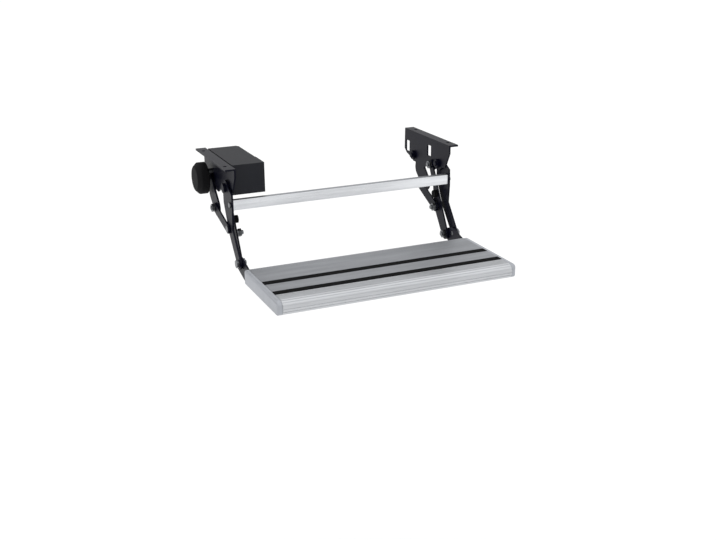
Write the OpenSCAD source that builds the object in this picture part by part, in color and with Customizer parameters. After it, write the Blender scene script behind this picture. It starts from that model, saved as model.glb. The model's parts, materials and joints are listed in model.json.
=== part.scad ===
// Electric swing-out entrance step, hung under a vehicle floor.
// X runs to the right, Y to the back and Z up. The origin is the middle of the
// floor bolts, on the top of the flanges. The step is drawn swung out.

/* [Tread] */
// Width over both end caps
tread_width = 554; // [450:2:700]
// Depth from the back edge to the nose
tread_depth = 217; // [200:1:235]
// Height of the board
tread_thick = 33; // [26:1:40]
// Place of the tread's back edge
tread_back_y = -192; // [-210:1:-180]
// Height of the tread's top face
tread_top_z = -207; // [-216:1:-200]
// Radius of the rounded nose
nose_radius = 16; // [8:0.5:16]
// Wall of the hollow board
tread_wall = 3.2; // [2.5:0.1:4.5]
// Length of one end cap
cap_length = 11; // [8:0.5:16]
// Width of one rubber strip
strip_width = 18; // [9:0.5:22]
// Depth of the strip's channel
strip_depth = 2.2; // [1.5:0.1:2.4]
// How far a strip stands above the tread
strip_proud = 0.8; // [0.3:0.1:1.5]
// Distance of the rear strip from the back edge
rear_strip_from_back = 98.7; // [80:1:115]
// Distance of the front strip from the back edge
front_strip_from_back = 163; // [140:1:175]

/* [Side brackets] */
// Inner face of the bracket plate
plate_in_x = 262.5; // [255:0.5:266]
// Sheet thickness of the bracket
plate_thick = 4; // [3:0.5:5]
// Width of the top flange
flange_width = 24; // [20:1:34]
// Thickness of the top flange
flange_thick = 4; // [3:0.5:5]
// Half the length of the bracket
bracket_half = 118; // [112:1:130]
// Distance between the floor bolts, front to back
bolt_pitch_y = 170; // [140:5:190]
// Diameter of a floor bolt's hole
floor_hole = 8.5; // [6.5:0.5:10]

/* [Linkage] */
// Front arm's upper pivot, Y
front_pivot_y = -63; // [-68:1:-58]
// Front arm's upper pivot, Z
front_pivot_z = -54; // [-58:1:-50]
// Distance of the rear arm's pivots behind the front arm's
pivot_pitch_y = 28; // [26:0.5:32]
// Height of the rear arm's pivots over the front arm's
pivot_pitch_z = -8; // [-10:0.5:-6]
// Reach of both arms to the front
arm_reach_y = 77; // [72:1:80]
// Drop of both arms
arm_drop_z = 155; // [150:1:158]
// Crank's pivot, Y
crank_pivot_y = 66; // [62:1:70]
// Crank's pivot, Z
crank_pivot_z = -59; // [-62:1:-56]
// Crank pin, Y
crank_pin_y = 15; // [12:1:18]
// Crank pin, Z
crank_pin_z = -119; // [-122:1:-116]
// Rod's lower stud, Y
rod_end_y = -72; // [-74:1:-70]
// Rod's lower stud, Z
rod_end_z = -159; // [-162:1:-156]
// Drive rod's lower joint on the left front arm, Y
drive_end_y = -80; // [-82:1:-79]
// Drive rod's lower joint on the left front arm, Z
drive_end_z = -145; // [-147:1:-143]
// Sheet thickness of the front arms and cranks
arm_thick = 4.5; // [3.5:0.5:5]
// Sheet thickness of the rear arms and rods
link_thick = 4; // [3:0.5:4]
// Diameter of the front arm and crank pivots
main_pin = 12; // [10:0.5:13]
// Diameter of the other pivots
link_pin = 10; // [8:0.5:11]
// Radial clearance of a turning pivot
run_gap = 0.06; // [0.03:0.01:0.09]
// Side gap between sheets that pass each other
side_gap = 1.5; // [1.2:0.1:2]
// Gap under a bolt head or nut that lets a part turn
float_gap = 0.5; // [0.3:0.1:0.7]

/* [Crossbar] */
// Height of the crossbar
bar_height = 23; // [18:1:25]
// Depth of the crossbar
bar_depth = 14; // [10:1:16]
// Wall of the crossbar
bar_wall = 2; // [1.5:0.1:3]
// Middle of the crossbar, Y
bar_y = -98; // [-102:1:-96]
// Middle of the crossbar, Z
bar_z = -85; // [-90:1:-84]

/* [Drive] */
// Outer side of the motor cover
cover_out_x = 256; // [253:0.5:256]
// Inner side of the motor cover
cover_in_x = 185; // [160:1:195]
// Front face of the motor cover
cover_front_y = -83; // [-88:1:-78]
// Back face of the motor cover
cover_back_y = 106; // [95:1:112]
// Height of the motor cover
cover_height = 68; // [60:1:70]
// Wall of the motor cover
cover_wall = 2.5; // [2:0.1:3.5]
// Motor's diameter
motor_dia = 42; // [34:1:43]
// Motor's length
motor_length = 88; // [60:1:92]
// Outer end of the gear cover
gear_cover_x = 307; // [303:1:312]
// Diameter of the gear cover
gear_cover_dia = 74; // [70:1:80]
// Wall of the gear cover
gear_cover_wall = 2.5; // [2:0.1:3.5]
// Diameter of the gear housing
gear_dia = 62; // [56:1:64]
// Diameter of the drive tube
tube_dia = 12; // [10:0.5:12]

/* [Hidden] */
// Layers of the linkage, from the outside to the inside
plate_out_x = plate_in_x + plate_thick;
arm_in_x = plate_out_x + side_gap;
arm_out_x = arm_in_x + arm_thick;
rear_out_x = plate_in_x - side_gap;
rear_in_x = rear_out_x - link_thick;
rod_out_x = rear_in_x - 3;
rod_in_x = rod_out_x - link_thick;
drive_in_x = arm_out_x + float_gap;
drive_out_x = drive_in_x + link_thick;

// Pivots as [Y, Z]
A = [front_pivot_y, front_pivot_z];
A2 = A + [pivot_pitch_y, pivot_pitch_z];
C = A + [-arm_reach_y, -arm_drop_z];
D = C + [pivot_pitch_y, pivot_pitch_z];
B = [crank_pivot_y, crank_pivot_z];
K = [crank_pin_y, crank_pin_z];
E = [rod_end_y, rod_end_z];
G = [drive_end_y, drive_end_z];
// Rubber buffer on the rear arm
F = (A2 + D)/2 + [5.5, 12];

// How far a link's flanks lie inside the tangents of its ends
flank_inset = 0.05;

// Half the width of the front arm at its waist, and the crank's bulge behind its middle
arm_waist = 14.5;
crank_bulge = B + 0.45*(K - B) + [4.6, -3.9];

// Fasteners
head_height = 6;
nut_height = 7;
main_hex = 19;
link_hex = 17;
buffer_dia = 18;
buffer_height = 9;

// Tread
half_width = tread_width/2;
board_half = half_width - cap_length;
tread_bottom_z = tread_top_z - tread_thick;
nose_y = tread_back_y - tread_depth;
corner_radius = 7;
strip_fit = 0.1;
tongue_fit = 0.15;
cap_round = 5;
back_corner = 4;
nose_groove = 1.4;
nose_groove_depth = 0.9;
tongue_length = 14;
tongue_depth = 60;
tongue_from_strip = 12;
foot_thick = 4;
foot_in_x = 222;
foot_length = 96;

// Windows of the right bracket: their lower front corners and their sizes
rear_window_at = [bracket_half - 26, -57];
rear_window = [21, 28];
middle_window_at = [-25, -46];
middle_window = [20, 27];

// The bracket plate's waist between the crank and the arms, and the heights of its lower corners
waist_start = 24;
waist_end = 52;
waist_drop = 18;
waist_margin = 20;
plate_rear_z = -52;
plate_tail_z = -62;
plate_waist_z = -64;
plate_front_z = -60;

// Floor bolts stand in the middle of the flanges
bolt_x = plate_out_x + (flange_width - plate_thick)/2;

// Drive
box_notch_x = cover_out_x - 17;
box_notch_y = -14;
box_notch_z = -38;
notch_front_y = cover_front_y + cover_wall;
cover_lip = 28;
ledge_length = 140;
ledge_from_front = 60;
ledge_width = 5;
ledge_depth = 1.2;
tube_seat = 12;
lid_thick = 2.5;
motor_x = -(cover_in_x + cover_wall + 24.5);
motor_z = -36;
tube_at = B + [-13, 18];
gear_in_x = drive_out_x + 2.5;
rivet_height = 1.8;
gear_width = 18;
gear_out_x = gear_in_x + gear_width;
shaft_end_x = gear_out_x - 3;
gear_cover_chamfer = 9;
gland_dia = 13;
gland_from_back = 26;
gland_y = cover_back_y - gland_from_back;
gland_z = -50;

black_coat = [0.10, 0.10, 0.11];
black_plastic = [0.14, 0.14, 0.15];
alloy = [0.68, 0.69, 0.71];
cap_grey = [0.72, 0.73, 0.75];
rubber = [0.06, 0.06, 0.06];
zinc = [0.62, 0.62, 0.60];

$fn = 48;

// Moves a flat shape or a bar to a pivot
module at(p) {
    translate([0, p[0], p[1]])
        children();
}

// Sheet from a YZ outline, on the left (side -1) or the right (side 1)
module sheet(side, x_in, thick) {
    translate([side > 0 ? x_in : -x_in - thick, 0, 0])
        rotate([90, 0, 90])
            linear_extrude(height = thick)
                children();
}

// Round bar along X between two distances from the middle
module bar(side, x_in, x_out, dia) {
    translate([side > 0 ? x_in : -x_out, 0, 0])
        rotate([0, 90, 0])
            cylinder(d = dia, h = x_out - x_in);
}

// Hexagon along X, given over its flats
module hex(side, x_in, x_out, flats) {
    translate([side > 0 ? x_in : -x_out, 0, 0])
        rotate([0, 90, 0])
            cylinder(d = flats/cos(30), h = x_out - x_in, $fn = 6);
}

// Hexagon nut on a pin
module nut(side, p, x_in, dia, flats) {
    at(p)
        difference() {
            hex(side, x_in, x_in + nut_height, flats);
            bar(side, x_in - 1, x_in + nut_height + 1, dia);
        }
}

// Outline of a link: two round ends and their common tangents.
// The flanks lie just inside the tangents, so that they cut the round ends cleanly.
module link_outline(p, q, rp, rq) {
    d = norm(q - p);
    dir = atan2(q[1] - p[1], q[0] - p[0]);
    lean = acos((rp - rq)/d);
    up = [cos(dir + lean), sin(dir + lean)];
    down = [cos(dir - lean), sin(dir - lean)];
    translate(p)
        circle(r = rp);
    translate(q)
        circle(r = rq);
    polygon([
        p + (rp - flank_inset)*down, q + (rq - flank_inset)*down,
        q + (rq - flank_inset)*up, p + (rp - flank_inset)*up
    ]);
}

module hole(p, dia) {
    translate(p)
        circle(d = dia);
}

// Side bracket: a hanging plate with an outward flange at its top
module bracket(side) {
    color(black_coat) {
        sheet(side, plate_in_x, plate_thick)
            bracket_outline(side);
        difference() {
            translate([side > 0 ? plate_out_x : -plate_in_x - flange_width, -bracket_half, -flange_thick])
                cube([flange_width - plate_thick, 2*bracket_half, flange_thick]);
            for (end = [-1, 1])
                translate([side*bolt_x, end*bolt_pitch_y/2, -flange_thick - 1])
                    cylinder(d = floor_hole, h = flange_thick + 2);
        }
    }
}

module bracket_outline(side) {
    difference() {
        union() {
            polygon([
                [-bracket_half, 0], [bracket_half, 0],
                [bracket_half + 2, plate_rear_z], [bracket_half - 10, plate_tail_z],
                [B[0], B[1] - 14], [B[0] - waist_start, plate_waist_z - waist_drop + 2],
                [B[0] - waist_end, plate_waist_z - waist_drop], [A2[0] + waist_margin, plate_waist_z],
                [A2[0], A2[1] - 12],
                [A[0], A[1] - 14], [A[0] - 22, plate_front_z],
                [A[0] - 34, plate_front_z + 2], [-bracket_half, -20]
            ]);
            translate(A)
                circle(r = 17);
            translate(A2)
                circle(r = 14.5);
            translate(B)
                circle(r = 17);
        }
        hole(A, main_pin);
        hole(A2, link_pin);
        hole(B, side < 0 ? main_pin + 2*run_gap : main_pin);
        if (side < 0)
            hole(tube_at, tube_dia);
        // Rear and middle windows
        if (side > 0)
            translate(rear_window_at)
                square(rear_window);
        if (side > 0)
            translate(middle_window_at)
                square(middle_window);
    }
}

// Bolt through the bracket that carries a front arm or the right crank
module main_bolt(side, p) {
    at(p) {
        bar(side, plate_in_x - nut_height - 3, arm_out_x + float_gap, main_pin);
        bar(side, plate_out_x, arm_in_x - float_gap, main_pin + 6);
        hex(side, arm_out_x + float_gap, arm_out_x + float_gap + head_height, main_hex);
    }
}

// Pin in a plate that carries a rear arm, flush on its outer side
module link_bolt(side, p) {
    at(p) {
        bar(side, rear_in_x - float_gap - nut_height - 3, plate_out_x, link_pin);
        bar(side, rear_out_x + float_gap, plate_in_x, link_pin + 6);
    }
}

module front_pivot_bolt(side) {
    color(black_coat)
        main_bolt(side, A);
}

module front_pivot_nut(side) {
    color(black_coat)
        nut(side, A, plate_in_x - nut_height, main_pin, main_hex);
}

module rear_pivot_pin(side) {
    color(zinc)
        link_bolt(side, A2);
}

module rear_pivot_nut(side) {
    color(zinc)
        nut(side, A2, rear_in_x - float_gap - nut_height, link_pin, link_hex);
}

module crank_pivot_bolt_right() {
    color(black_coat)
        main_bolt(1, B);
}

module crank_pivot_nut_right() {
    color(black_coat)
        nut(1, B, plate_in_x - nut_height, main_pin, main_hex);
}

// Box that the motor cover and its hollow are cut from
module cover_block(grow) {
    depth = cover_back_y - cover_front_y - 2*grow;
    difference() {
        translate([-cover_out_x, cover_front_y + grow, -cover_height + grow])
            cube([cover_out_x - cover_in_x - grow, depth, cover_height - 2*grow]);
        // The space behind the front wall stays clear of the arm pivots
        translate([-cover_out_x - 1, notch_front_y - grow, -cover_height - 1])
            cube([cover_out_x - box_notch_x + 1 + grow, box_notch_y - notch_front_y + 2*grow,
                cover_height + box_notch_z + 1 + grow]);
    }
}

module motor_cover() {
    color(black_plastic) {
        // Lip that meets the bracket, and the front wall's end beside it
        translate([-plate_in_x, cover_front_y, -cover_lip])
            cube([plate_in_x - cover_out_x, cover_back_y - cover_front_y, cover_lip]);
        translate([-plate_in_x, cover_front_y, -cover_height])
            cube([plate_in_x - cover_out_x + 1, cover_wall, cover_height]);
        difference() {
            cover_block(0);
            intersection() {
                cover_block(cover_wall);
                translate([-cover_out_x + lid_thick, cover_front_y, -cover_height])
                    cube([cover_out_x, cover_back_y - cover_front_y, cover_height]);
            }
            lid_block(0);
            // Step along the inner top edge
            translate([-cover_in_x - ledge_width, cover_front_y + ledge_from_front, -ledge_depth])
                cube([ledge_width + 1, ledge_length, ledge_depth + 1]);
            translate([-cover_in_x - cover_wall - 1, gland_y, gland_z])
                rotate([0, 90, 0])
                    cylinder(d = gland_dia - 4, h = cover_wall + 2);
        }
    }
}

// Plate that closes the cover against the bracket
module lid_block(gap) {
    translate([-cover_out_x - 1, box_notch_y + cover_wall + gap, -cover_height + cover_wall + gap])
        cube([lid_thick + 1, cover_back_y - box_notch_y - 2*cover_wall - 2*gap,
            cover_height - 2*cover_wall - 2*gap]);
}

module motor_lid() {
    color(black_plastic)
        difference() {
            translate([-cover_out_x, box_notch_y + cover_wall, -cover_height + cover_wall])
                cube([lid_thick, cover_back_y - box_notch_y - 2*cover_wall, cover_height - 2*cover_wall]);
            at(tube_at)
                bar(-1, cover_out_x - lid_thick - 1, cover_out_x + 1, tube_dia);
        }
}

// Motor with its worm gear head, which stands on the lid
module gear_motor() {
    head = 40;
    color(zinc)
        difference() {
            union() {
                translate([motor_x, tube_at[0] - 10, motor_z])
                    rotate([90, 0, 0])
                        cylinder(d = motor_dia, h = motor_length);
                translate([-cover_out_x + lid_thick, tube_at[0] - head/2, motor_z - 22])
                    cube([cover_out_x - lid_thick + motor_x + 20, head, 44]);
            }
            at(tube_at)
                bar(-1, cover_out_x - lid_thick - tube_seat, cover_out_x, tube_dia);
        }
}

// Fixed tube around the drive between the motor and the gear housing
module drive_tube() {
    color(zinc)
        difference() {
            at(tube_at)
                bar(-1, cover_out_x - lid_thick - tube_seat, gear_in_x, tube_dia);
            at(tube_at)
                bar(-1, cover_out_x - lid_thick - tube_seat - 1, gear_in_x + 1, tube_dia - 5);
        }
}

// Gear wheel's housing, carried by the drive tube and the output shaft
module gear_housing() {
    color(zinc)
        difference() {
            at(B)
                bar(-1, gear_in_x, gear_out_x, gear_dia);
            at(B)
                bar(-1, gear_in_x - 1, shaft_end_x + 0.3, main_pin + 2*run_gap);
        }
}

// Round cup over the gear housing, with a chamfered outer edge
module gear_cover() {
    r = gear_cover_dia/2;
    deep = gear_cover_x - gear_in_x;
    cut = gear_cover_chamfer;
    color(black_plastic)
        translate([-gear_in_x, B[0], B[1]])
            rotate([0, -90, 0])
                rotate_extrude($fn = 72)
                    difference() {
                        polygon([[0, 0], [r, 0], [r, deep - cut], [r - cut, deep], [0, deep]]);
                        polygon([
                            [-1, -1], [gear_dia/2, -1], [gear_dia/2, gear_out_x - gear_in_x],
                            [r - cut, deep - gear_cover_wall], [-1, deep - gear_cover_wall]
                        ]);
                    }
}

module cable_gland() {
    color(rubber)
        difference() {
            union() {
                translate([-cover_in_x, gland_y, gland_z])
                    rotate([0, 90, 0])
                        cylinder(d = gland_dia, h = 5);
                translate([-cover_in_x - cover_wall, gland_y, gland_z])
                    rotate([0, 90, 0])
                        cylinder(d = gland_dia - 4, h = cover_wall + 1);
            }
            translate([-cover_in_x - cover_wall - 1, gland_y, gland_z])
                rotate([0, 90, 0])
                    cylinder(d = gland_dia - 7.5, h = cover_wall + 7);
        }
}

// Front arm: wide at its head, where the crossbar butts on it
module front_arm(side) {
    waist = [-89, -146];
    color(black_coat)
        sheet(side, arm_in_x, arm_thick)
            difference() {
                union() {
                    polygon([
                        [A[0] - 15, A[1] + 8], [bar_y - bar_depth/2 - 2, bar_z + 24],
                        [bar_y - bar_depth/2 - 3, bar_z - 12], [waist[0] - arm_waist, waist[1]],
                        [waist[0] + arm_waist, waist[1]], [A[0] + 17, bar_z - 6], [A[0] + 17, A[1] - 6]
                    ]);
                    translate(A)
                        circle(r = 18);
                    link_outline(waist, C, arm_waist, 13);
                    if (side < 0)
                        translate(G)
                            circle(r = 11);
                }
                hole(A, main_pin + 2*run_gap);
                hole(C, link_pin + 2*run_gap);
                hole([bar_y, bar_z], 6);
                if (side < 0)
                    hole(G, link_pin);
            }
}

module crossbar() {
    color(alloy)
        sheet(-1, -arm_in_x, 2*arm_in_x)
            difference() {
                translate([bar_y, bar_z])
                    square([bar_depth, bar_height], center = true);
                translate([bar_y, bar_z])
                    square([bar_depth - 2*bar_wall, bar_height - 2*bar_wall], center = true);
            }
}

// Block inside the crossbar's end that takes its screw
module crossbar_plug(side) {
    color(zinc)
        sheet(side, arm_in_x - 24, 24)
            difference() {
                translate([bar_y, bar_z])
                    square([bar_depth - 2*bar_wall, bar_height - 2*bar_wall], center = true);
                hole([bar_y, bar_z], 6);
            }
}

module crossbar_screw(side) {
    color(zinc)
        at([bar_y, bar_z]) {
            bar(side, arm_in_x - 18, arm_out_x, 6);
            bar(side, arm_out_x, arm_out_x + 3.5, 12);
        }
}

// Rear arm with a lug behind it for the rod
module rear_arm(side) {
    neck = A2 + 0.28*(D - A2);
    color(black_coat)
        sheet(side, rear_in_x, link_thick)
            difference() {
                union() {
                    translate(A2)
                        circle(r = 12);
                    link_outline(A2, neck, 9.5, 9.4);
                    link_outline(neck, D, 9.4, 14);
                    link_outline(E, D, 15, 14);
                    link_outline(E, neck, 15, 8);
                }
                hole(A2, link_pin + 2*run_gap);
                hole(D, link_pin + 2*run_gap);
                hole(E, link_pin);
                hole(F, 6);
            }
}

// Right rear arm's half of the rod joint, which ends just before the rod
module rod_boss_right() {
    color(zinc)
        at(E) {
            bar(1, rod_out_x + float_gap, rear_in_x, link_pin + 6);
            bar(1, rear_in_x, rear_out_x, link_pin);
        }
}

// Left front arm's half of the drive rod's joint, flush with the arm
module rod_boss_left() {
    color(zinc)
        at(G)
            bar(-1, arm_in_x, arm_out_x, link_pin);
}

// Threaded stud with a shoulder on the left rear arm
module arm_stud() {
    color(zinc)
        at(E) {
            bar(-1, rod_in_x - nut_height - 5, rear_out_x, link_pin);
            bar(-1, rod_in_x, rear_in_x, link_pin + 6);
        }
}

module arm_stud_nut() {
    color(zinc)
        nut(-1, E, rod_in_x - nut_height, link_pin, link_hex);
}

module buffer(side) {
    color(rubber)
        at(F) {
            bar(side, rear_in_x - buffer_height, rear_in_x, buffer_dia);
            bar(side, rear_in_x, rear_out_x, 6);
        }
}

module crank(side) {
    color(black_coat)
        sheet(side, arm_in_x, arm_thick)
            difference() {
                union() {
                    link_outline(B, K, 15, 21);
                    link_outline(crank_bulge, K, 22, 21);
                }
                hole(B, side < 0 ? main_pin : main_pin + 2*run_gap);
                hole(K, link_pin);
            }
}

// Left crank's shaft, which turns in the bracket and in the gear housing
module output_shaft() {
    color(zinc)
        at(B) {
            bar(-1, plate_in_x - 2, shaft_end_x, main_pin);
            bar(-1, plate_out_x + float_gap, arm_in_x, main_pin + 6);
        }
}

// Right crank pin, which reaches to the rod on the inside
module crank_pin_right() {
    color(zinc)
        at(K) {
            bar(1, rod_in_x - float_gap - nut_height - 2, arm_out_x, link_pin);
            bar(1, rod_out_x + float_gap, arm_in_x, link_pin + 6);
            hex(1, arm_out_x, arm_out_x + head_height, link_hex);
        }
}

// Left crank pin, which reaches to the drive rod on the outside
module crank_pin_left() {
    color(zinc)
        at(K)
            bar(-1, arm_in_x, drive_out_x + float_gap + nut_height + 2, link_pin);
}

module crank_pin_nut_right() {
    color(zinc)
        nut(1, K, rod_in_x - float_gap - nut_height, link_pin, link_hex);
}

module crank_pin_nut_left() {
    color(zinc)
        nut(-1, K, drive_out_x + float_gap, link_pin, link_hex);
}

// Right rod, on the inside, from the crank to the rear arm
module rod_right() {
    color(black_coat)
        sheet(1, rod_in_x, link_thick)
            difference() {
                link_outline(K, E, 11.5, 11.5);
                hole(K, link_pin + 2*run_gap);
                hole(E, link_pin);
            }
}

// Left rod, on the outside, from the driven crank to the front arm
module rod_left() {
    color(black_coat)
        sheet(-1, drive_in_x, link_thick)
            difference() {
                link_outline(K, G, 11.5, 10.5);
                hole(K, link_pin + 2*run_gap);
                hole(G, link_pin);
            }
}

// Right rod's half of its lower joint
module rod_stud_right() {
    color(zinc)
        at(E)
            bar(1, rod_in_x - nut_height - 5, rod_out_x, link_pin);
}

// Left rod's half of its lower joint, a rivet with a low head
module rod_stud_left() {
    color(zinc)
        at(G) {
            bar(-1, drive_in_x, drive_out_x, link_pin);
            bar(-1, drive_out_x, drive_out_x + rivet_height, link_pin + 6);
        }
}

module rod_nut_right() {
    color(zinc)
        nut(1, E, rod_in_x - nut_height, link_pin, link_hex);
}

// Outline of the board in YZ, with a rounded nose
module board_outline(inset) {
    r = nose_radius - inset;
    front = nose_y + nose_radius;
    back = tread_back_y - inset;
    low = tread_bottom_z + inset;
    high = tread_top_z - inset;
    translate([front, low])
        square([back - front, high - low]);
    translate([nose_y + inset, tread_bottom_z + nose_radius])
        square([r + 1, tread_thick - 2*nose_radius]);
    for (z = [tread_bottom_z + nose_radius, tread_top_z - nose_radius])
        translate([front, z])
            circle(r = r);
}

// Middle of a rubber strip
function strip_y(from_back) = tread_back_y - from_back;

module tread_board() {
    rib = 3;
    color(alloy)
        sheet(-1, -board_half, 2*board_half)
            difference() {
                union() {
                    difference() {
                        board_outline(0);
                        board_outline(tread_wall);
                    }
                    // Ribs under the strips
                    intersection() {
                        board_outline(0.5);
                        for (from_back = [rear_strip_from_back, front_strip_from_back])
                            translate([strip_y(from_back) - rib/2, tread_bottom_z])
                                square([rib, tread_thick]);
                    }
                    // Floor of each strip's channel
                    for (from_back = [rear_strip_from_back, front_strip_from_back])
                        translate([strip_y(from_back) - strip_width/2 - 3, tread_top_z - strip_depth - 3])
                            square([strip_width + 6, 3]);
                }
                for (from_back = [rear_strip_from_back, front_strip_from_back])
                    translate([strip_y(from_back) - strip_width/2 - strip_fit, tread_top_z - strip_depth])
                        square([strip_width + 2*strip_fit, strip_depth + 1]);
                // Fine grooves of the nose and of the top behind it
                for (i = [-1 : 3])
                    translate([nose_y + nose_radius, tread_top_z - nose_radius])
                        rotate(-25*i + 5)
                            translate([-nose_radius - 1, -nose_groove/2])
                                square([1 + nose_groove_depth, nose_groove]);
                for (i = [0 : 4])
                    translate([nose_y + nose_radius + 1 + 5*i, tread_top_z - nose_groove_depth])
                        square([nose_groove, 2]);
            }
}

module strip(from_back) {
    color(rubber)
        sheet(-1, -board_half, 2*board_half)
            translate([strip_y(from_back) - strip_width/2, tread_top_z - strip_depth])
                square([strip_width, strip_depth + strip_proud]);
}

module strip_front() {
    strip(front_strip_from_back);
}

module strip_rear() {
    strip(rear_strip_from_back);
}

// End cap with rounded outer edges and corners, and a tongue in the hollow board
module end_cap(side) {
    color(cap_grey) {
        intersection() {
            sheet(side, board_half, cap_length)
                board_outline(0);
            translate([0, 0, tread_bottom_z - 1])
                linear_extrude(height = tread_thick + 2)
                    cap_plan(side);
            translate([0, tread_back_y + 1, 0])
                rotate([90, 0, 0])
                    linear_extrude(height = tread_depth + 2)
                        cap_side(side);
        }
        sheet(side, board_half - tongue_length, tongue_length)
            translate([strip_y(rear_strip_from_back) + tongue_from_strip,
                tread_bottom_z + tread_wall + tongue_fit])
                square([tongue_depth, tread_thick - 2*tread_wall - 4 - tongue_fit]);
    }
}

// Cap from above, with rounded corners at the nose and at the back
module cap_plan(side) {
    r = corner_radius;
    q = back_corner;
    translate([side > 0 ? board_half - 1 : -half_width + r, nose_y])
        square([cap_length + 1 - r + 0.01, tread_depth]);
    translate([side > 0 ? board_half - 1 : -half_width + q, nose_y + r])
        square([cap_length + 1 - q, tread_depth - r]);
    translate([side > 0 ? board_half - 1 : -half_width, nose_y + r])
        square([cap_length + 1, tread_depth - r - q]);
    translate([side*(half_width - r), nose_y + r])
        circle(r = r);
    translate([side*(half_width - q), tread_back_y - q])
        circle(r = q);
}

// Cap from the front, with its outer edges rounded
module cap_side(side) {
    r = cap_round;
    translate([side > 0 ? board_half - 1 : -half_width + r, tread_bottom_z])
        square([cap_length + 1 - r, tread_thick]);
    translate([side > 0 ? board_half - 1 : -half_width, tread_bottom_z + r])
        square([cap_length + 1, tread_thick - 2*r]);
    for (z = [tread_bottom_z + r, tread_top_z - r])
        translate([side*(half_width - r), z])
            circle(r = r);
}

// Foot that joins the arms to the tread's back and underside
module tread_bracket(side) {
    low = tread_bottom_z - foot_thick;
    inner = side > 0 ? foot_in_x : -plate_in_x - 0.5;
    wide = plate_in_x - foot_in_x + 0.5;
    color(black_coat) {
        sheet(side, plate_in_x, plate_thick)
            difference() {
                union() {
                    link_outline(C, D, 14, 13);
                    polygon([
                        [tread_back_y, tread_top_z - 3], [C[0], C[1] + 14],
                        [D[0] + 4, D[1] - 12], [tread_back_y + 30, low], [tread_back_y, low]
                    ]);
                }
                hole(C, link_pin);
                hole(D, link_pin);
            }
        // Back flange and foot plate
        translate([inner, tread_back_y, low])
            cube([wide, foot_thick, tread_thick + foot_thick - 3]);
        translate([side > 0 ? foot_in_x : -plate_out_x, tread_back_y - foot_length, low])
            cube([plate_out_x - foot_in_x, foot_length + foot_thick, foot_thick]);
    }
}

// Bolt of the front arm's lower pivot, flush on its inner side
module tread_bolt(side) {
    color(zinc)
        at(C) {
            bar(side, plate_in_x, arm_out_x + float_gap, link_pin);
            bar(side, plate_out_x, arm_in_x - float_gap, link_pin + 6);
            hex(side, arm_out_x + float_gap, arm_out_x + float_gap + head_height, link_hex);
        }
}

module tread_pin(side) {
    color(zinc)
        link_bolt(side, D);
}

module tread_nut(side) {
    color(zinc)
        nut(side, D, rear_in_x - float_gap - nut_height, link_pin, link_hex);
}

bracket(-1);  // bracket_left
bracket(1);  // bracket_right
front_pivot_bolt(-1);  // front_pivot_bolt_left
front_pivot_bolt(1);  // front_pivot_bolt_right
front_pivot_nut(-1);  // front_pivot_nut_left
front_pivot_nut(1);  // front_pivot_nut_right
rear_pivot_pin(-1);  // rear_pivot_pin_left
rear_pivot_pin(1);  // rear_pivot_pin_right
rear_pivot_nut(-1);  // rear_pivot_nut_left
rear_pivot_nut(1);  // rear_pivot_nut_right
crank_pivot_bolt_right();
crank_pivot_nut_right();
motor_cover();
motor_lid();
gear_motor();
drive_tube();
gear_housing();
gear_cover();
cable_gland();
front_arm(-1);  // front_arm_left
front_arm(1);  // front_arm_right
crossbar();
crossbar_plug(-1);  // crossbar_plug_left
crossbar_plug(1);  // crossbar_plug_right
crossbar_screw(-1);  // crossbar_screw_left
crossbar_screw(1);  // crossbar_screw_right
rear_arm(-1);  // rear_arm_left
rear_arm(1);  // rear_arm_right
rod_boss_left();
rod_boss_right();
buffer(-1);  // buffer_left
buffer(1);  // buffer_right
crank(-1);  // crank_left
crank(1);  // crank_right
output_shaft();
crank_pin_left();
crank_pin_right();
crank_pin_nut_left();
crank_pin_nut_right();
rod_left();
rod_right();
rod_stud_left();
rod_stud_right();
rod_nut_right();
arm_stud();
arm_stud_nut();
tread_board();
strip_front();
strip_rear();
end_cap(-1);  // end_cap_left
end_cap(1);  // end_cap_right
tread_bracket(-1);  // tread_bracket_left
tread_bracket(1);  // tread_bracket_right
tread_bolt(-1);  // tread_bolt_left
tread_bolt(1);  // tread_bolt_right
tread_pin(-1);  // tread_pin_left
tread_pin(1);  // tread_pin_right
tread_nut(-1);  // tread_nut_left
tread_nut(1);  // tread_nut_right
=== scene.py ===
"""Looks of a folding caravan step: steelwork, drive covers, alloy tread, fasteners and a plain studio."""

import json
import math

import bmesh
import bpy
from mathutils import Matrix, Vector


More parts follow.
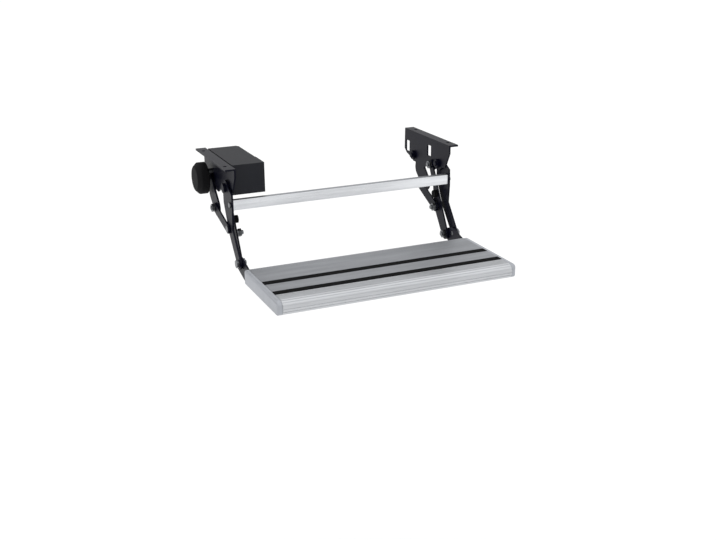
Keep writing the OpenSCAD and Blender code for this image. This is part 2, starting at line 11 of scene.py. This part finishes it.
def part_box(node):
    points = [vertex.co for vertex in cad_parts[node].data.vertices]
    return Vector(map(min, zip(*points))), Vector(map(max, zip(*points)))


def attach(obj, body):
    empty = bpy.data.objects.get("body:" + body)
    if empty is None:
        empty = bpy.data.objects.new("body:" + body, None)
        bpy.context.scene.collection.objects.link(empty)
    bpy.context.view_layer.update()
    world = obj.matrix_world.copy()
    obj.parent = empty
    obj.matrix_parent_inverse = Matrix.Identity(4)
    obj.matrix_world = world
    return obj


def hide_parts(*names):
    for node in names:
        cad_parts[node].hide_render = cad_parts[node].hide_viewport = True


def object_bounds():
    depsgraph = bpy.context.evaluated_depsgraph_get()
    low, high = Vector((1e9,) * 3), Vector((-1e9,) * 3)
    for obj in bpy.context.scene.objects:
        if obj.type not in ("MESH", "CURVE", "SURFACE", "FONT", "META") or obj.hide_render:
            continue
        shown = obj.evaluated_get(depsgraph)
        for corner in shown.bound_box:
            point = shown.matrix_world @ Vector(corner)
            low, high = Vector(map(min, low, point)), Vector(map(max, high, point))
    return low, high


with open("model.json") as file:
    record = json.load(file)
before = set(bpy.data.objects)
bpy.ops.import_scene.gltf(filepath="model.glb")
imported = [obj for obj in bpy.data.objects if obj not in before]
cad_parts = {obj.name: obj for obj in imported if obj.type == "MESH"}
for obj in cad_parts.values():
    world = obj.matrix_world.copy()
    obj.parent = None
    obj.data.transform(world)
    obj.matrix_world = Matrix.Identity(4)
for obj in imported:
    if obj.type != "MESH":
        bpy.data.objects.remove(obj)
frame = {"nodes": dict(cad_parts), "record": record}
CAD_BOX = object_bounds()

bl_info = {
    "name": "Folding step looks",
    "version": (1, 0, 0),
    "blender": (4, 5, 0),
    "location": "View3D > Sidebar > Step",
    "description": "Dresses the solids of a folding caravan step",
    "category": "Object",
}

MM = 0.001
SIDES = ("left", "right")
STRIPS = ("strip_front", "strip_rear")
# Grooves along each rubber strip
STRIP_GROOVES = 3
# Share of a groove's width that each of its flanks takes
FLANK_SHARE = 0.25
# Places of the axes in a vector
X = 0
Y = 1
# Points closer than this are one point
TINY = 0.002*MM
# Faces that turn less than this are one flat face
FLAT_ANGLE = math.radians(0.4)
# Edges that turn more than this are rounded
EDGE_ANGLE = math.radians(34.0)
# Edges that turn more than this look sharp, on a plain piece and on a rounded one
PLAIN_CREASE = math.radians(32.0)
ROUNDED_CREASE = math.radians(50.0)
# A face whose normal rises more than this looks upwards
UPWARD = 0.7
# Most of a noise pattern lies between these two values
NOISE_LOW = 0.3
NOISE_HIGH = 0.7

# Floor: how far it lies below the step, and half its width, in metres
FLOOR_DROP = 0.8
FLOOR_REACH = 40.0
# Light: white air all round, and one wide source overhead
AIR_STRENGTH = 0.85
SOFTBOX_SOURCE = Vector((0.2, -0.1, 1.0))
SOFTBOX_STRENGTH = 0.8
SOFTBOX_SPREAD = math.radians(100.0)
# Camera: turned and placed, in metres, as the straight edges in the photograph show
CAMERA_AZIMUTH = math.radians(-23.5403)
CAMERA_PITCH = math.radians(19.2550)
CAMERA_ROLL = math.radians(-0.5484)
CAMERA_PLACE = Vector((-0.9120, -2.2686, 0.5447))
# Focal length and the photograph's width in pixels, and the sensor's width in mm
FOCAL_PIXELS = 1053.87
PHOTO_PIXELS = 716
SENSOR_WIDTH = 36.0


def linear(text):
    """Turns an sRGB hex value into the linear colour that shaders take."""
    parts = [int(text[i:i + 2], 16)/255 for i in (1, 3, 5)]
    return tuple(c/12.92 if c <= 0.04045 else ((c + 0.055)/1.055)**2.4 for c in parts) + (1.0,)


def length(name, description, millimetres):
    """A length that a user may change."""
    return bpy.props.FloatProperty(
        name=name, description=description, default=millimetres*MM,
        min=0.0, subtype="DISTANCE", unit="LENGTH", precision=5,
    )


def colour(name, description, text):
    """A colour that a user may change, from its hex value."""
    return bpy.props.FloatVectorProperty(
        name=name, description=description, default=linear(text),
        min=0.0, max=1.0, size=4, subtype="COLOR",
    )


class StepSizes(bpy.types.PropertyGroup):
    """Small forms that the solids leave out."""

    rib_pitch: length("Rib pitch", "Distance between the ribs on the tread's top", 5.0)
    rib_groove: length("Rib groove", "Width of the groove between two ribs", 1.5)
    rib_depth: length("Rib depth", "Depth of the grooves on the tread's top", 0.5)
    rib_margin: length("Rib margin", "Flat margin between the ribs and an edge or a strip", 3.0)
    strip_groove: length("Strip groove", "Width of the grooves in a rubber strip", 1.4)
    strip_depth: length("Strip depth", "Depth of the grooves in a rubber strip", 0.5)
    steel_edge: length("Steel edge", "Rounding that the coating gives a sheet's edge", 0.6)
    gear_edge: length("Gear edge", "Rounding of the gear cover's edges", 1.8)
    motor_edge: length("Motor edge", "Rounding of the motor cover's edges", 1.0)
    seam_width: length("Seam width", "Width of the seam between the motor cover and the flange", 3.0)
    seam_depth: length("Seam depth", "Depth of the seam between the motor cover and the flange", 4.0)
    bar_edge: length("Bar edge", "Rounding of the crossbar's edges", 1.2)
    cap_edge: length("Cap edge", "Rounding of the end caps' edges", 1.6)
    bolt_edge: length("Bolt edge", "Rounding of the edges of heads and nuts", 0.7)


class StepColours(bpy.types.PropertyGroup):
    """Base colours of the finishes."""

    coat: colour("Coat", "Powder coat of the steelwork", "#090A18")
    moulding: colour("Moulding", "Plastic of the motor's cover", "#10121A")
    # Painted shade: a darker copy of the moulding, for the gear cover
    gear_shade_moulding: colour("Gear moulding", "Plastic of the gear's cover", "#0C0C0E")
    alloy: colour("Alloy", "Anodised nose, sides and underside of the tread", "#C3C5C8")
    # Painted shade: a darker copy of the alloy, for the tread's top and the crossbar's top
    painted_shade_alloy: colour("Shade painted alloy", "Shade painted top of the tread, and top of the crossbar", "#9C9EA2")
    bright_alloy: colour("Bright alloy", "Mill finish of the crossbar", "#E2E4E7")
    cap: colour("Cap", "Silver grey end caps", "#A6A9AF")
    rubber: colour("Rubber", "Strips and buffers", "#0A0A0B")
    zinc: colour("Zinc", "Plated bolts and nuts", "#6F7174")
    floor: colour("Floor", "Studio floor", "#FCFCFC")


def add_node(tree, kind, inputs=None, **settings):
    """Adds one shader node: a socket among its inputs is linked, and any other value is set."""
    made = tree.nodes.new(kind)
    for name, value in settings.items():
        setattr(made, name, value)
    for name, value in (inputs or {}).items():
        if isinstance(value, bpy.types.NodeSocket):
            tree.links.new(value, made.inputs[name])
        else:
            made.inputs[name].default_value = value
    return made


def finish_material(name, base, spots, fine, rough, bump, shader):
    """A material with slow patches of tone and a fine surface.

    spots and fine are the sizes in mm of the patches and of the fine surface along X, Y and Z.
    base holds the colour and the share by which the patches darken and lighten it.
    rough holds the two ends of the roughness.
    bump is the strength and the height in mm, and shader holds the shader's own constants.
    """
    made = bpy.data.materials.new(name)
    made.use_nodes = True
    tree = made.node_tree
    surface = tree.nodes["Principled BSDF"]
    for socket, value in shader.items():
        surface.inputs[socket].default_value = value
    place = add_node(tree, "ShaderNodeTexCoord").outputs["Object"]
    noises = []
    for sizes, detail in ((spots, 3.0), (fine, 2.0)):
        spread = add_node(tree, "ShaderNodeMapping", {
            "Vector": place, "Scale": [1/(size*MM) for size in sizes],
        })
        noises.append(add_node(tree, "ShaderNodeTexNoise", {
            "Vector": spread.outputs["Vector"], "Scale": 1.0, "Detail": detail, "Roughness": 0.55,
        }).outputs["Fac"])
    tone, change = base
    ramp = add_node(tree, "ShaderNodeValToRGB", {"Fac": noises[0]})
    dark, light = ramp.color_ramp.elements
    dark.position = NOISE_LOW
    dark.color = tuple(c*(1 - change) for c in tone[:3]) + (1.0,)
    light.position = NOISE_HIGH
    light.color = tuple(min(1.0, c*(1 + change)) for c in tone[:3]) + (1.0,)
    tree.links.new(ramp.outputs["Color"], surface.inputs["Base Color"])
    gloss = add_node(tree, "ShaderNodeMapRange", {
        "Value": noises[1], "From Min": NOISE_LOW, "From Max": NOISE_HIGH,
        "To Min": rough[0], "To Max": rough[1],
    }, clamp=True)
    tree.links.new(gloss.outputs["Result"], surface.inputs["Roughness"])
    relief = add_node(tree, "ShaderNodeBump", {
        "Height": noises[1], "Strength": bump[0], "Distance": bump[1]*MM,
    })
    tree.links.new(relief.outputs["Normal"], surface.inputs["Normal"])
    return made


def make_finishes(colours):
    """Every finish of the object, by the name of its slot in the record or of its own."""
    return {
        # Polyester powder coat on steel, sprayed and baked: satin black with a slight orange peel.
        # The peel is about 0.5 mm wide, and is drawn at 1.5 mm so that it shows.
        "black_coat": finish_material(
            "powder_coated_steel", (colours.coat, 0.14), (40, 40, 40), (1.5, 1.5, 1.5),
            (0.32, 0.46), (0.22, 0.12), {"Metallic": 0.0, "IOR": 1.5, "Specular IOR Level": 0.10},
        ),
        # Black ABS moulded in a spark eroded tool: matt, with an even fine grain.
        # The grain is about 0.3 mm wide, and is drawn at 1.2 mm so that it shows.
        "black_plastic": finish_material(
            "moulded_black_abs", (colours.moulding, 0.10), (60, 60, 60), (1.2, 1.2, 1.2),
            (0.54, 0.66), (0.25, 0.10), {"Metallic": 0.0, "IOR": 1.53, "Specular IOR Level": 0.29},
        ),
        # Glass filled nylon, moulded rough: a dead black that takes little light from any side.
        # Black plastic of the gear cover: a rougher, less reflective copy of the moulding, painted darker
        # as shade for the shaded side of the drive.
        "shade_painted_plastic": finish_material(
            "black_moulding_painted_shade", (colours.gear_shade_moulding, 0.12), (50, 50, 50), (1.2, 1.2, 1.2),
            (0.66, 0.78), (0.25, 0.10), {"Metallic": 0.0, "IOR": 1.53, "Specular IOR Level": 0.13},
        ),
        # Extruded aluminium, etched and clear anodised: satin grey with faint die lines along X.
        # Die lines are about 0.2 mm wide, and are drawn at 0.9 mm so that they show.
        "alloy": finish_material(
            "anodised_extruded_aluminium", (colours.alloy, 0.07), (160, 14, 14), (120, 0.9, 0.9),
            (0.36, 0.50), (0.18, 0.08), {"Metallic": 1.0},
        ),
        # Aluminium of the tread's top and the crossbar's top: rougher than the nose, and its colour
        # painted darker as shade on upward faces, standing for the shade between the ribs and the light
        # falling on the top.
        "painted_shade_alloy": finish_material(
            "ribbed_aluminium_painted_shade", (colours.painted_shade_alloy, 0.08), (160, 14, 14), (120, 0.9, 0.9),
            (0.46, 0.60), (0.22, 0.08), {"Metallic": 1.0},
        ),
        # Drawn aluminium tube as it left the mill: brighter, with long streaks along X.
        "bright_alloy": finish_material(
            "mill_finish_aluminium", (colours.bright_alloy, 0.09), (140, 9, 9), (90, 0.9, 0.9),
            (0.26, 0.42), (0.16, 0.06), {"Metallic": 1.0},
        ),
        # Glass filled nylon, moulded and painted silver: smooth and light, with soft reflections.
        "cap_grey": finish_material(
            "silver_painted_nylon", (colours.cap, 0.05), (30, 30, 30), (1.0, 1.0, 1.0),
            (0.38, 0.50), (0.10, 0.05), {"Metallic": 0.35, "IOR": 1.5},
        ),
        # Extruded EPDM rubber: deep black and dull, with a little bloom in patches.
        "rubber": finish_material(
            "extruded_black_rubber", (colours.rubber, 0.25), (18, 18, 18), (0.8, 0.8, 0.8),
            (0.70, 0.88), (0.25, 0.08), {"Metallic": 0.0, "IOR": 1.52, "Specular IOR Level": 0.08},
        ),
        # Bright zinc plate on turned steel: grey metal with cloudy patches of passivation.
        "zinc": finish_material(
            "bright_zinc_plate", (colours.zinc, 0.20), (5, 5, 5), (0.7, 0.7, 0.7),
            (0.24, 0.42), (0.15, 0.05), {"Metallic": 1.0},
        ),
    }


# Filled by main, before the operators run
FINISHES = {}


def put(name, bm, body, nodes, slot, finish=None, crease=PLAIN_CREASE):
    """Makes a mesh an object with its finish, which rides on a body and stands for CAD nodes."""
    mesh = bpy.data.meshes.new(name)
    bm.to_mesh(mesh)
    bm.free()
    for face in mesh.polygons:
        face.use_smooth = True
    mesh.set_sharp_from_angle(angle=crease)
    mesh.materials.append(FINISHES[finish or slot])
    piece = bpy.data.objects.new(name, mesh)
    bpy.context.scene.collection.objects.link(piece)
    evened = piece.modifiers.new("even_normals", "WEIGHTED_NORMAL")
    evened.keep_sharp = True
    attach(piece, body)
    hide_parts(*nodes)
    return piece


def refinish(piece, finish, chosen):
    """Gives the chosen faces of a piece a second finish."""
    piece.data.materials.append(FINISHES[finish])
    for face in piece.data.polygons:
        if chosen(face):
            face.material_index = 1


def body_of(node):
    """The body that a CAD node rides on."""
    for body, members in frame["record"]["behaviour"]["bodies"].items():
        if node in members:
            return body
    raise RuntimeError("no body holds " + node)


def merged_copy(node):
    """A copy of a CAD node's mesh with its loose triangles joined into flat faces."""
    bm = bmesh.new()
    bm.from_mesh(frame["nodes"][node].data)
    bmesh.ops.remove_doubles(bm, verts=bm.verts, dist=TINY)
    bmesh.ops.dissolve_limit(
        bm, angle_limit=FLAT_ANGLE, verts=bm.verts, edges=bm.edges, use_dissolve_boundaries=False,
    )
    return bm


def eased(node, slot, edge, finish=None, segments=2, bm=None):
    """A copy of a CAD node, or a mesh made from one, with rounded edges, which stands for the node."""
    if bm is None:
        bm = merged_copy(node)
    sharp = [e for e in bm.edges if e.is_manifold and e.calc_face_angle() > EDGE_ANGLE]
    bmesh.ops.bevel(
        bm, geom=sharp, offset=edge, affect="EDGES", segments=segments, profile=0.5, material=-1,
        clamp_overlap=True,
    )
    bmesh.ops.dissolve_degenerate(bm, dist=TINY, edges=bm.edges)
    return put(node + "_finished", bm, body_of(node), [node], slot, finish, ROUNDED_CREASE)


def block(lo, hi):
    """A mesh of a plain block between two corners, to be shaped further."""
    bm = bmesh.new()
    bmesh.ops.create_cube(bm, size=1.0)
    bmesh.ops.scale(bm, vec=hi - lo, verts=bm.verts)
    bmesh.ops.translate(bm, vec=(lo + hi)/2, verts=bm.verts)
    return bm


def slice_at(bm, axis, place):
    """Cuts new edges into a mesh where a plane across one axis meets it."""
    point = Vector((0, 0, 0))
    normal = Vector((0, 0, 0))
    point[axis] = place
    normal[axis] = 1.0
    bmesh.ops.bisect_plane(
        bm, geom=bm.verts[:] + bm.edges[:] + bm.faces[:], dist=TINY/4, plane_co=point, plane_no=normal,
    )


def groove(bm, axis, start, end, flank, top, depth):
    """Sinks a band of the top between two places on an axis, with sloping flanks."""
    for place in (start, start + flank, end - flank, end):
        slice_at(bm, axis, place)
    floor = [
        v for v in bm.verts
        if start + flank - TINY < v.co[axis] < end - flank + TINY and v.co.z > top - TINY
    ]
    bmesh.ops.translate(bm, vec=Vector((0, 0, -depth)), verts=floor)


class STEP_OT_tread(bpy.types.Operator):
    """Makes the ribbed tread, its rubber strips and its end caps"""

    bl_idname = "step.tread"
    bl_label = "Tread"

    def execute(self, context):
        sizes = context.scene.step_sizes
        board_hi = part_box("tread_board")[1]
        strips = [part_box(name) for name in STRIPS]
        front_lo, front_hi = strips[0]

        # Grooves leave the ribs standing from the front strip to the back, and none cuts under a strip
        gap = sizes.rib_groove
        clear = sizes.rib_margin/2
        start = front_hi.y + sizes.rib_margin
        bm = merged_copy("tread_board")
        while start + gap < board_hi.y - sizes.rib_margin:
            if all(start > hi.y + clear or start + gap < lo.y - clear for lo, hi in strips):
                groove(bm, Y, start, start + gap, gap*FLANK_SHARE, board_hi.z, sizes.rib_depth)
            start += sizes.rib_pitch
        board = put("tread_ribbed", bm, "tread", ["tread_board"], "alloy")
        # Painted shade: the tread's top faces, behind the front strip's front edge, take the darker alloy
        painted_shade_above = board_hi.z - 2*sizes.rib_depth
        refinish(board, "painted_shade_alloy",
                 lambda face: face.center.z > painted_shade_above and face.center.y > front_lo.y)

        gap = sizes.strip_groove
        for name, (lo, hi) in zip(STRIPS, strips):
            bm = block(lo, hi)
            pitch = (hi.y - lo.y)/(STRIP_GROOVES + 1)
            for i in range(1, STRIP_GROOVES + 1):
                start = lo.y + pitch*i - gap/2
                groove(bm, Y, start, start + gap, gap*FLANK_SHARE, hi.z, sizes.strip_depth)
            put(name + "_grooved", bm, "tread", [name], "rubber")

        for side in SIDES:
            eased("end_cap_" + side, "cap_grey", sizes.cap_edge, segments=3)
        return {"FINISHED"}


class STEP_OT_steelwork(bpy.types.Operator):
    """Rounds the edges of the coated brackets, arms, cranks, rods and feet, and of the crossbar"""

    bl_idname = "step.steelwork"
    bl_label = "Steelwork"

    def execute(self, context):
        sizes = context.scene.step_sizes
        for kind in ("bracket", "front_arm", "rear_arm", "crank", "rod", "tread_bracket"):
            for side in SIDES:
                eased(kind + "_" + side, "black_coat", sizes.steel_edge)
        # Painted shade: the bar's upward faces take the darker alloy of the tread's top, so its top reads
        # darker than its sides
        rail = eased("crossbar", "alloy", sizes.bar_edge, finish="bright_alloy")
        refinish(rail, "painted_shade_alloy", lambda face: face.normal.z > UPWARD)
        return {"FINISHED"}


class STEP_OT_drive(bpy.types.Operator):
    """Rounds the edges of the motor's and the gear's covers, and cuts the seam"""

    bl_idname = "step.drive"
    bl_label = "Drive"

    def execute(self, context):
        sizes = context.scene.step_sizes
        # A seam parts the cover's top from the bracket's flange
        lo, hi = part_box("motor_cover")
        bm = merged_copy("motor_cover")
        flank = sizes.seam_width/8
        groove(bm, X, lo.x - flank, lo.x + sizes.seam_width, flank, hi.z, sizes.seam_depth)
        eased("motor_cover", "black_plastic", sizes.motor_edge, segments=3, bm=bm)
        # The gear cover takes the darker, less reflective copy of the black plastic, as painted shade
        eased("gear_cover", "black_plastic", sizes.gear_edge, finish="shade_painted_plastic", segments=3)
        return {"FINISHED"}


class STEP_OT_fasteners(bpy.types.Operator):
    """Gives every solid its finish, and rounds the edges of the plated bolts, nuts and drive parts"""

    bl_idname = "step.fasteners"
    bl_label = "Fasteners"

    def execute(self, context):
        sizes = context.scene.step_sizes
        for row in frame["record"]["subparts"]:
            node = row["node"]
            slot = row["material_slot"]
            finishes = frame["nodes"][node].data.materials
            finishes.clear()
            finishes.append(FINISHES[slot])
            if slot == "zinc":
                eased(node, slot, sizes.bolt_edge)
        return {"FINISHED"}


class STEP_OT_stage(bpy.types.Operator):
    """Makes the floor, the light and the camera"""

    bl_idname = "step.stage"
    bl_label = "Stage"

    def execute(self, context):
        scene = context.scene
        colours = scene.step_colours
        bm = bmesh.new()
        bmesh.ops.create_grid(bm, x_segments=1, y_segments=1, size=FLOOR_REACH)
        bmesh.ops.translate(bm, vec=(0, 0, CAD_BOX[0].z - FLOOR_DROP), verts=bm.verts)
        mesh = bpy.data.meshes.new("studio_floor")
        bm.to_mesh(mesh)
        bm.free()
        mesh.materials.append(finish_material(
            "matt_white_board", (colours.floor, 0.01), (900, 900, 900), (6, 6, 6),
            (0.85, 0.95), (0.05, 0.1), {"Metallic": 0.0},
        ))
        floor = bpy.data.objects.new("studio_floor", mesh)
        scene.collection.objects.link(floor)

        world = bpy.data.worlds.new("studio_air")
        world.use_nodes = True
        air = world.node_tree.nodes["Background"]
        air.inputs["Color"].default_value = (1.0, 1.0, 1.0, 1.0)
        air.inputs["Strength"].default_value = AIR_STRENGTH
        scene.world = world
        scene.view_settings.view_transform = "Standard"

        light = bpy.data.lights.new("overhead_softbox", "SUN")
        light.energy = SOFTBOX_STRENGTH
        light.angle = SOFTBOX_SPREAD
        lamp = bpy.data.objects.new("overhead_softbox", light)
        lamp.rotation_euler = (-SOFTBOX_SOURCE).to_track_quat("-Z", "Y").to_euler()
        scene.collection.objects.link(lamp)

        # The camera looks against back, and its picture's edges follow right and up
        level = math.cos(CAMERA_PITCH)
        back = Vector((
            math.sin(CAMERA_AZIMUTH)*level, -math.cos(CAMERA_AZIMUTH)*level, math.sin(CAMERA_PITCH),
        ))
        right = Vector((math.cos(CAMERA_AZIMUTH), math.sin(CAMERA_AZIMUTH), 0))
        up = back.cross(right)
        turned = Matrix((right, up, back)).transposed() @ Matrix.Rotation(CAMERA_ROLL, 3, "Z")
        optics = bpy.data.cameras.new("photo_camera")
        optics.sensor_width = SENSOR_WIDTH
        optics.lens = FOCAL_PIXELS*SENSOR_WIDTH/PHOTO_PIXELS
        optics.dof.use_dof = False
        camera = bpy.data.objects.new("photo_camera", optics)
        camera.matrix_world = Matrix.Translation(CAMERA_PLACE) @ turned.to_4x4()
        scene.collection.objects.link(camera)
        scene.camera = camera
        return {"FINISHED"}


class STEP_PT_panel(bpy.types.Panel):
    """Lists the pieces, the sizes and the colours"""

    bl_label = "Folding step"
    bl_idname = "STEP_PT_panel"
    bl_space_type = "VIEW_3D"
    bl_region_type = "UI"
    bl_category = "Step"

    def draw(self, context):
        for operator in OPERATORS:
            self.layout.operator(operator.bl_idname)
        for group in (context.scene.step_sizes, context.scene.step_colours):
            for name in group.__annotations__:
                self.layout.prop(group, name)


OPERATORS = (STEP_OT_stage, STEP_OT_fasteners, STEP_OT_steelwork, STEP_OT_drive, STEP_OT_tread)
CLASSES = (StepSizes, StepColours, *OPERATORS, STEP_PT_panel)


def register():
    """Tells Blender of the classes and hangs their values on the scene."""
    for made in CLASSES:
        bpy.utils.register_class(made)
    bpy.types.Scene.step_sizes = bpy.props.PointerProperty(type=StepSizes)
    bpy.types.Scene.step_colours = bpy.props.PointerProperty(type=StepColours)


def unregister():
    """Takes back what register did."""
    del bpy.types.Scene.step_colours
    del bpy.types.Scene.step_sizes
    for made in reversed(CLASSES):
        bpy.utils.unregister_class(made)


def main():
    """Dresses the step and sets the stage."""
    register()
    FINISHES.update(make_finishes(bpy.context.scene.step_colours))
    bpy.ops.step.stage()
    bpy.ops.step.fasteners()
    bpy.ops.step.steelwork()
    bpy.ops.step.drive()
    bpy.ops.step.tread()


if __name__ == "__main__":
    main()
